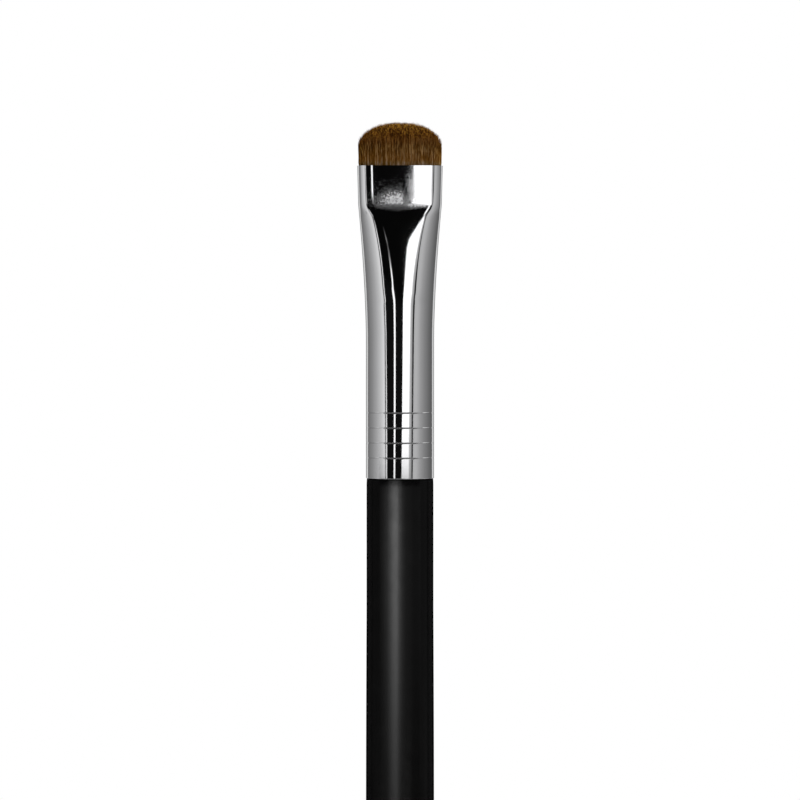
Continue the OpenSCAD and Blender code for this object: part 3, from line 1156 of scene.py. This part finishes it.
@dataclass
class Tuft:
    """The hair: thousands of tapered strands round a packed core, which is toned dark as painted shade.

    The strands stand in jittered rows. Neighbours belong to a lock, which has its own shade, lean and rise.
    Each strand has levels from its root to its tip, at shares of its height and with shares of its thickness.
    """

    form: TuftForm = TuftForm()
    mouth_z: float = 84.6
    pitch: float = 0.058
    thickness: float = 0.055
    jitter: float = 0.42
    lean: float = 0.13
    tip_rise: float = -0.03
    tip_ragged: float = 0.08
    tip_room: float = 0.02
    face_room: float = 0.05
    height_shares: tuple[float, ...] = (0, 0, 0.4, 0.75, 0.92, 1)
    thickness_shares: tuple[float, ...] = (1, 1, 0.95, 0.7, 0.42, 0)
    lock_pitch: float = 0.17
    lock_lean: float = 0.1
    lock_rise: float = 0.06
    core_cells: tuple[int, int] = (48, 24)
    core_inset: float = 0.25
    core_sink: float = 0.55
    # Tone of the core: the darkest shades, painted shade for the tuft's depths
    core_painted_shade: Quad = (0.05, 0.05, 0.2, 1.0)
    core_aside: Triple = (0.01, 0.007, 0)
    seed: int = 7

    @property
    def last(self) -> int:
        """Number of a strand's last level, its tip."""
        return len(self.height_shares) - 1

    def strand(self) -> tuple[Array, Array]:
        """Model one strand and take it apart.

        Returns:
            Points, with z from 0 at the root to 1 at the tip, and faces as rows of three point numbers.
        """
        deselect()
        bpy.ops.mesh.primitive_cone_add(vertices=3, radius1=1, radius2=0, depth=1, location=(0, 0, 0.5))
        piece = named("strand")
        cut_upright(piece, self.last - 1)
        bpy.ops.mesh.select_all(action="SELECT")
        bpy.ops.mesh.quads_convert_to_tris()
        bpy.ops.object.mode_set(mode="OBJECT")
        points = points_of(piece)
        faces = np.array([list(face.vertices) for face in piece.data.polygons])
        bpy.data.objects.remove(piece)
        return points, faces

    def places(self, rng: np.random.Generator) -> Array:
        """Places of the strands in the full spread, in jittered rows.

        Args:
            rng: Random source.

        Returns:
            Rows with x and y.
        """
        row = self.pitch * math.sqrt(3) / 2
        rows, columns = int(self.form.half_t / row) + 1, int(self.form.half_w / self.pitch) + 1
        j, i = np.meshgrid(np.arange(-rows, rows + 1), np.arange(-columns, columns + 1), indexing="ij")
        spots = np.column_stack([((i + (j % 2) / 2) * self.pitch).ravel(), (j * row).ravel()])
        spots = spots + rng.uniform(-self.jitter, self.jitter, spots.shape) * self.pitch
        return spots[self.form.inside(*spots.T)]

    def locks(self, spots: Array, rng: np.random.Generator) -> tuple[Array, Array, Array]:
        """Shade, lean and rise of the lock that each strand belongs to.

        Args:
            spots: Places of the strands.
            rng: Random source.

        Returns:
            A shade from 0 to 1, a lean with x and y, and a rise of the tip, for each strand.
        """
        form = self.form
        count = int(form.half_w * form.half_t * 4 / self.lock_pitch**2)
        centres = rng.uniform((-form.half_w, -form.half_t), (form.half_w, form.half_t), (count, 2))
        apart = ((spots[:, None, :] - centres[None, :, :]) ** 2).sum(axis=2)
        nearest = apart.argmin(axis=1)
        lean = rng.normal(0, self.lock_lean, (count, 2))
        return rng.random(count)[nearest], lean[nearest], rng.normal(0, self.lock_rise, count)[nearest]

    def laid(self, points: Array, spots: Array, rng: np.random.Generator) -> tuple[Array, Array]:
        """Lay a strand at each place.

        Args:
            points: Points of one strand.
            spots: Places of the strands.
            rng: Random source.

        Returns:
            For each strand, its points in metres and their values of the tone attribute.
        """
        form = self.form
        lock_tone, lock_lean, lock_rise = self.locks(spots, rng)
        count = len(spots)
        own_rise = rng.normal(self.tip_rise, self.tip_ragged, count)
        tip = np.minimum(form.dome(*spots.T) + own_rise + lock_rise, form.out - self.tip_room)
        lean = rng.normal(0, self.lean, (count, 2)) + lock_lean
        own_tone = rng.random(count)
        turn = rng.uniform(0, 2 * math.pi, count)[:, None]
        level = np.rint(points[:, 2] * self.last).astype(int)
        share = np.array(self.height_shares)[level]
        z = np.where(level == 0, -form.root_sink, form.spread_l + (tip - form.spread_l)[:, None] * share)
        narrow = np.array([form.root_w_share, form.root_t_share])
        base = spots[:, None, :] * np.where((level == 0)[:, None], narrow, 1.0)
        base = base + lean[:, None, :] * (share**2)[:, None]
        outline = np.where(level == self.last, 0, points[:, :2].T)
        size = np.hypot(*outline)
        size[size == 0] = 1
        px, py = outline / size * (np.array(self.thickness_shares)[level] * self.thickness / 2)
        x = base[:, :, 0] + np.cos(turn) * px - np.sin(turn) * py
        y = base[:, :, 1] + np.sin(turn) * px + np.cos(turn) * py
        half_t = form.half_t + self.face_room
        x, y = np.clip(x, -form.half_w, form.half_w), np.clip(y, -half_t, half_t)
        along = np.clip(z / form.out, 0, 1)
        tone = np.broadcast_arrays(own_tone[:, None], lock_tone[:, None], along, 1.0)
        return np.stack([x, y, z + self.mouth_z], axis=2) * MM, np.stack(tone, axis=2)

    def joined(self, name: str, places: Array, faces: Array, tone: Array) -> Object:
        """One mesh of many strands.

        Args:
            name: Name of the piece.
            places: Points of each strand.
            faces: Faces of one strand.
            tone: Values of the tone attribute, point by point.

        Returns:
            The new object.
        """
        count, each = places.shape[:2]
        all_faces = (faces[None, :, :] + (np.arange(count) * each)[:, None, None]).reshape(-1, 3)
        mesh = bpy.data.meshes.new(name)
        mesh.from_pydata(places.reshape(-1, 3).tolist(), [], all_faces.tolist())
        mesh.polygons.foreach_set("use_smooth", np.ones(len(mesh.polygons), bool))
        piece = bpy.data.objects.new(name, mesh)
        bpy.context.scene.collection.objects.link(piece)
        give_tone(piece, tone)
        return piece

    def build(self) -> list[Object]:
        """Lay the strands in three pieces.

        Returns:
            The pieces, from the front to the back.
        """
        rng = np.random.default_rng(self.seed)
        points, faces = self.strand()
        spots = self.places(rng)
        places, tone = self.laid(points, spots, rng)
        thirds = np.array_split(np.argsort(spots[:, 1]), 3)
        names = ("hair_front", "hair_middle", "hair_back")
        return [self.joined(name, places[third], faces, tone[third]) for name, third in zip(names, thirds)]

    def core(self) -> Object:
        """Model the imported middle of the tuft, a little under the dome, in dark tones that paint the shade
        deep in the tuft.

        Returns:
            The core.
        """
        form = self.form
        deselect()
        columns, rows = self.core_cells
        bpy.ops.mesh.primitive_grid_add(x_subdivisions=columns, y_subdivisions=rows, size=2)
        piece = named("hair_core")
        u, v, _ = points_of(piece).T
        x = u * np.sqrt(1 - v * v / 2) * (form.half_w - self.core_inset)
        y = v * np.sqrt(1 - u * u / 2) * (form.half_t - self.core_inset)
        z = form.dome(x, y) - self.core_sink
        put_points(piece, np.column_stack([x, y, z + self.mouth_z]) * MM)
        edit("EDGE", "SELECT")
        bpy.ops.mesh.region_to_loop()
        bpy.ops.mesh.extrude_edges_move()
        bpy.ops.object.mode_set(mode="OBJECT")
        base = points_of(piece)
        base[len(u):, 2] = (self.mouth_z - form.root_sink) * MM
        base[len(u):, :2] *= (form.root_w_share, form.root_t_share)
        put_points(piece, base)
        bpy.ops.object.mode_set(mode="EDIT")
        bpy.ops.mesh.edge_face_add()
        bpy.ops.mesh.select_all(action="SELECT")
        bpy.ops.mesh.normals_make_consistent(inside=False)
        bpy.ops.object.mode_set(mode="OBJECT")
        ordered(piece, self.core_aside)
        give_tone(piece, np.tile(self.core_painted_shade, len(piece.data.vertices)))
        shade(piece)
        return piece

    def dress(self) -> None:
        """Build the hair and give it its finish."""
        finish = HairFinish().make()
        for piece in [*self.build(), self.core()]:
            seat(piece, Slot.HAIR, finish, "bristles")


# Studio

# Elevation that parts what the ferrule reflects, above, from what the handle reflects, below
SPLIT = -2.95

# Distances of the reflected cards and lamps from the brush in metres
GLOW_AWAY = 0.56
NEAR = 0.6
FAR = 0.62
TENT_AWAY = 0.64

# Cells along each side of a card
CARD_CELLS = 72


def even(level: float) -> tuple[Pair, Pair]:
    """The same level from one end to the other."""
    return ((0, level), (1, level))


def upright(low: float, high: float, left: float, right: float) -> tuple[Triple, Triple]:
    """Rows of a card with upright sides, from its lowest and highest elevation and its sides' azimuths."""
    return ((low, left, right), (high, left, right))


@dataclass(frozen=True)
class Card:
    """A lit or black card that only reflections see.

    Each row has an elevation and the azimuths of the card's left and right edges there, in degrees as the
    brush sees them, with azimuths to the right of the camera. The levels across the card and up it are
    multiplied.
    """

    name: str
    rows: tuple[Triple, ...]
    levels: tuple[Pair, ...]
    rising: tuple[Pair, ...] = even(1.0)
    distance: float = NEAR

    def build(self, centre_z: float, turn: float) -> Object:
        """Bend a grid round the brush and light it.

        Args:
            centre_z: Height of the brush's visible middle, in metres.
            turn: Azimuth of the camera in degrees.

        Returns:
            The new card.
        """
        deselect()
        bpy.ops.mesh.primitive_grid_add(x_subdivisions=CARD_CELLS, y_subdivisions=CARD_CELLS, size=1)
        piece = named(self.name)
        across, up, _ = (points_of(piece) + 0.5).T
        heights, left, right = np.array(self.rows).T
        e = heights[0] + up * (heights[-1] - heights[0])
        start, stop = np.interp(e, heights, left), np.interp(e, heights, right)
        a, e = np.radians(start + across * (stop - start) + turn), np.radians(e)
        way = np.column_stack([np.sin(a) * np.cos(e), -np.cos(a) * np.cos(e), np.sin(e)])
        put_points(piece, way * self.distance + (0, 0, centre_z))
        piece.data.materials.append(self.light())
        for ray in ("camera", "diffuse", "transmission", "volume_scatter", "shadow"):
            setattr(piece, "visible_" + ray, False)
        return piece

    def light(self) -> Material:
        """Make the card's glow, which changes across its width and up its height.

        Returns:
            The glowing material.
        """
        s = Shader(self.name)
        ways = s.node("SeparateXYZ", {0: s.node("UVMap").outputs["UV"]}).outputs
        glow, fade = (
            s.ramp(way, [(at, (level,) * 3) for at, level in levels])
            for way, levels in zip(ways, (self.levels, self.rising))
        )
        both = s.vector("MULTIPLY", {0: glow, 1: fade})
        s.show(s.node("Emission", {"Color": both, "Strength": 1.0}).outputs["Emission"])
        return s.material


METAL_CARDS = (
    Card(
        "black_tent",
        upright(-60, 85, -180, 180),
        even(0.006),
        ((0, 1.0), (0.424, 1.0), (0.438, 0.35), (1, 0.35)),
        TENT_AWAY,
    ),
    Card(
        "left_panel",
        ((SPLIT, -136, -50.2), (-1, -136, -51), (0.5, -136, -53.3), (80, -136, -53.3)),
        ((0, 0.2), (0.108, 0.227), (0.349, 0.32), (0.59, 0.476), (0.795, 0.67), (0.94, 0.87), (1, 0.8)),
    ),
    Card(
        "left_foot",
        upright(-40, SPLIT, -136, -76),
        ((0, 0.2), (0.155, 0.227), (0.5, 0.32), (0.85, 0.476), (1, 0.56)),
        distance=FAR,
    ),
    Card(
        "left_pane",
        (
            (SPLIT, -48.6, -44.2), (-2, -48.2, -44), (-1, -48, -44.9), (0.5, -50, -47.2), (10, -50, -46.4),
            (17, -50, -45),
        ),
        even(1.0),
        ((0, 1.0), (0.65, 1.0), (1, 0.3)),
    ),
    Card(
        "thin_strip",
        (
            (SPLIT, -21.8, -16.4), (-2.2, -20.9, -15.9), (-1.5, -20.4, -15.1), (3, -19.8, -14.4),
            (3.3, -18.2, -14.3), (8.5, -18.5, -14.3), (10, -18.5, -13.5), (14, -17, -12.5),
            (19, -16.5, -12.5), (26, -15, -11),
        ),
        even(1.45),
        (
            (0, 1.0), (0.34, 1.0), (0.41, 0.4), (0.5, 0.15), (0.65, 0.07), (0.76, 0.17), (0.86, 0.05),
            (1, 0.0),
        ),
    ),
    Card(
        "soft_foot",
        ((3, 5.8, 10.2), (3.5, 5.8, 10.8), (4.6, 5.8, 11.4)),
        ((0, 0.0), (0.6, 0.01), (0.85, 0.04), (1, 0.15)),
    ),
    Card(
        "soft_box",
        (
            (SPLIT, 4, 27.5), (-2, 6.2, 29.4), (-1, 7.8, 30.8), (0.5, 9.8, 34.1), (3, 10.3, 34.1),
            (3.5, 10.8, 34.1), (5, 11.5, 34.6), (9, 11, 35.5), (13, 10.6, 36.5), (18, 10.6, 37),
            (22, 11.8, 37), (25, 14, 37), (28, 16.5, 36), (31, 18.5, 33),
        ),
        even(1.6),
        ((0, 0.52), (0.01, 0.75), (0.025, 0.95), (0.04, 1.0), (0.9, 1.0), (1, 0.1)),
    ),
    Card("soft_neck", ((29, 28, 35.8), (36, 30, 37), (44, 32.5, 38)), ((0, 0.6), (0.3, 1.4), (1, 1.4))),
    Card(
        "soft_edge",
        (
            (SPLIT, 27.5, 39.5), (-2, 29.4, 39.8), (-1, 30.8, 40.6), (0.5, 34.1, 43.2), (3, 34.1, 43.6),
            (8, 35.5, 44.5), (13, 36.5, 44), (22, 37, 43), (28, 36, 41),
        ),
        ((0, 1.1), (0.25, 0.6), (0.7, 0.5), (1, 0.25)),
        ((0, 1.0), (0.85, 1.0), (1, 0.1)),
    ),
    Card(
        "right_panel",
        (
            (SPLIT, 43.2, 136), (-1, 45.4, 136), (0.5, 48.5, 136), (3, 48.5, 136), (10, 47, 136),
            (20, 45.5, 136), (80, 45.5, 136),
        ),
        (
            (0, 0.57), (0.109, 0.587), (0.2, 0.515), (0.291, 0.418), (0.497, 0.287), (0.737, 0.187),
            (0.897, 0.145), (1, 0.14),
        ),
    ),
    Card(
        "right_foot",
        upright(-40, SPLIT, 43.2, 136),
        (
            (0, 0.57), (0.109, 0.587), (0.291, 0.418), (0.497, 0.287), (0.737, 0.187), (0.897, 0.145),
            (1, 0.14),
        ),
        distance=FAR,
    ),
    Card("left_rim", upright(-40, 80, -157, -138), ((0, 0.75), (1, 0.7)), distance=FAR),
    Card("right_rim", upright(-40, 80, 138, 157), ((0, 0.7), (1, 0.75)), distance=FAR),
    Card(
        "back_panel",
        upright(-40, 80, 157, 203),
        ((0, 0.1), (0.24, 0.15), (0.3, 1.0), (0.7, 1.0), (0.76, 0.15), (1, 0.1)),
        distance=FAR,
    ),
)

COAT_CARDS = (
    Card(
        "coat_glow",
        upright(-11.5, SPLIT, -75, 43),
        (
            (0, 0.09), (0.127, 0.3), (0.258, 0.75), (0.352, 1.7), (0.423, 2.9), (0.517, 3.6), (0.559, 3.1),
            (0.591, 2.1), (0.65, 1.2), (0.709, 0.66), (0.798, 0.31), (0.89, 0.23), (1, 0.21),
        ),
        (
            (0, 0.2), (0.28, 0.2), (0.38, 0.22), (0.49, 0.36), (0.59, 0.42), (0.7, 0.62), (0.8, 0.78),
            (0.85, 1.1), (0.91, 2.2), (0.95, 2.1), (1, 1.2),
        ),
    ),
)

LOW_CARDS = (
    Card("low_left", upright(-60, -14, -100, -55), ((0, 0.5), (1, 1.2))),
    Card("low_middle", upright(-60, -14, 12, 38), even(1.6)),
    Card("low_right", upright(-60, -14, 90, 125), ((0, 1.2), (1, 0.4))),
    Card("low_back", upright(-60, -13, 160, 200), even(1.5)),
)


@dataclass(frozen=True)
class Lamp:
    """A soft lamp that faces the brush's middle.

    Its place is in degrees to the right of the camera and above the middle. Its size and its distance from
    the brush are in metres.
    """

    azimuth: float
    elevation: float
    size: Pair
    watts: float
    distance: float = NEAR

    def build(self, name: str, centre_z: float, turn: float) -> Object:
        """Put up the lamp.

        Args:
            name: Its name.
            centre_z: Height of the brush's visible middle, in metres.
            turn: Azimuth of the camera in degrees.

        Returns:
            The lamp.
        """
        data = bpy.data.lights.new(name, "AREA")
        data.shape = "RECTANGLE"
        data.size, data.size_y = self.size
        data.energy = self.watts
        lamp = bpy.data.objects.new(name, data)
        bpy.context.scene.collection.objects.link(lamp)
        a, e = math.radians(self.azimuth + turn), math.radians(self.elevation)
        away = self.distance
        x, y = away * math.sin(a) * math.cos(e), -away * math.cos(a) * math.cos(e)
        lamp.location = (x, y, centre_z + away * math.sin(e))
        lamp.rotation_euler = (math.pi / 2 - e, 0, a)
        return lamp


def glow(azimuth: float, elevation: float, width: float, height: float, level: float) -> Lamp:
    """A lamp that stands for a card, with its place and size in degrees and its level as a card's."""
    size = (GLOW_AWAY * math.radians(width), GLOW_AWAY * math.radians(height))
    return Lamp(azimuth, elevation, size, level * math.pi * size[0] * size[1], GLOW_AWAY)


# What the lacquer's top and sides reflect, where a card would stand before the ferrule's own cards
COAT_LAMPS = (
    glow(-33, 2.6, 14, 11, 0.35),
    glow(-16, 2.6, 20, 11, 0.75),
    glow(0, 2.6, 12, 11, 0.3),
    glow(59, -3.6, 32, 1.6, 0.24),
    glow(59, -5.7, 32, 2.6, 0.09),
    glow(59, -9.5, 32, 5.0, 0.035),
    glow(-128, -3, 30, 16, 0.03),
    glow(-92, -3, 36, 16, 0.04),
    glow(90, -3, 36, 16, 0.07),
    glow(128, -3, 30, 16, 0.04),
)


@dataclass
class Studio:
    """Camera, floor, cards and lamps. Lengths are in metres and angles in degrees."""

    centre_z: float = 0.05715
    turn: float = -2.86
    rise: float = 1.05
    distance: float = 0.6
    view_height: float = 0.09384
    clip: Pair = (0.01, 20)
    floor_z: float = -0.0853
    floor_r: float = 0.26
    floor_sides: int = 96
    floor_fade: Pair = (0.14, 0.25)
    floor_shades: Pair = (0.9, 0.93)
    floor_grain: float = 60
    floor_roughness: float = 0.7
    world_level: float = 0.8
    white: float = 1.0
    key: Lamp = Lamp(25, 30, (0.5, 0.5), 3.0)

    def camera(self) -> None:
        """Put the camera where the photograph was taken from."""
        data = bpy.data.cameras.new("camera")
        camera = bpy.data.objects.new("camera", data)
        bpy.context.scene.collection.objects.link(camera)
        rise, turn = math.radians(self.rise), math.radians(self.turn)
        out, up = self.distance * math.cos(rise), self.distance * math.sin(rise)
        camera.location = (out * math.sin(turn), -out * math.cos(turn), self.centre_z + up)
        camera.rotation_euler = (math.pi / 2 - rise, 0, turn)
        data.lens = data.sensor_width / 2 / (self.view_height / 2 / self.distance)
        data.clip_start, data.clip_end = self.clip
        bpy.context.scene.camera = camera

    def world(self) -> None:
        """White all round, at a plain level for the light that falls on the brush."""
        world = bpy.data.worlds.new("studio")
        bpy.context.scene.world = world
        world.use_nodes = True
        s = Nodes(world.node_tree)
        back = s.tree.nodes["Background"]
        path = s.node("LightPath").outputs
        seen = s.math("MAXIMUM", path["Is Camera Ray"], path["Is Glossy Ray"])
        seen = s.math("MAXIMUM", seen, path["Is Transmission Ray"])
        s.feed(back, "Color", (*WHITE, 1))
        s.feed(back, "Strength", s.spread(seen, self.world_level, self.white))

    def floor(self) -> Object:
        """Lay a pale floor disc that fades into the white at its edge.

        Returns:
            The floor.
        """
        deselect()
        bpy.ops.mesh.primitive_circle_add(
            vertices=self.floor_sides,
            radius=self.floor_r,
            fill_type="TRIFAN",
            location=(0, 0, self.floor_z),
        )
        floor = named("floor")
        s = Shader("pale_floor")
        first, second = ((shade,) * 3 for shade in self.floor_shades)
        s.set(Base_Color=s.mottled(s.noise(self.floor_grain), first, second), Roughness=self.floor_roughness)
        out = s.vector("LENGTH", {0: s.place((1, 1, 0))}, "Value")
        clear = s.node("BsdfTransparent").outputs[0]
        parts = {0: s.spread(out, 0, 1, *self.floor_fade), 1: s.surface.outputs[0], 2: clear}
        s.show(s.node("MixShader", parts).outputs[0])
        floor.data.materials.append(s.material)
        return floor

    def link(self, light: Object, receivers: list[Object]) -> None:
        """Let a light shine only on some objects.

        Args:
            light: Lamp or card.
            receivers: What it lights.
        """
        group = bpy.data.collections.new(light.name + "_lights")
        for receiver in receivers:
            group.objects.link(receiver)
        light.light_linking.receiver_collection = group

    def build(self) -> None:
        """Set up everything round the brush."""
        self.camera()
        self.world()
        floor = self.floor()
        metal = [bpy.data.objects["ferrule_shell"]]
        coat = [bpy.data.objects["handle_coat"]]
        hair = [piece for piece in bpy.data.objects if piece.name.startswith("hair_")]
        for cards, lit in ((METAL_CARDS, metal), (COAT_CARDS, coat), (LOW_CARDS, metal + coat)):
            for card in cards:
                self.link(card.build(self.centre_z, self.turn), lit)
        self.link(self.key.build("key", self.centre_z, self.turn), [*hair, floor])
        for number, lamp in enumerate(COAT_LAMPS):
            self.link(lamp.build(f"glow_{number}", self.centre_z, self.turn), coat)


def main() -> None:
    """Build the brush piece by piece, then its studio."""
    logging.basicConfig(level=logging.INFO, format="%(name)s: %(message)s")
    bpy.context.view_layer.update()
    Ferrule().dress()
    HandleCoat().dress()
    Tuft().dress()
    for node, finish in HIDDEN.items():
        cad_piece = frame["nodes"][node]
        cad_piece.data.materials.clear()
        cad_piece.data.materials.append(finish.make())
        log.info("%s: %s", node, finish.name)
    Studio().build()
    bpy.context.scene.view_settings.view_transform = "Standard"


if __name__ == "__main__":
    main()
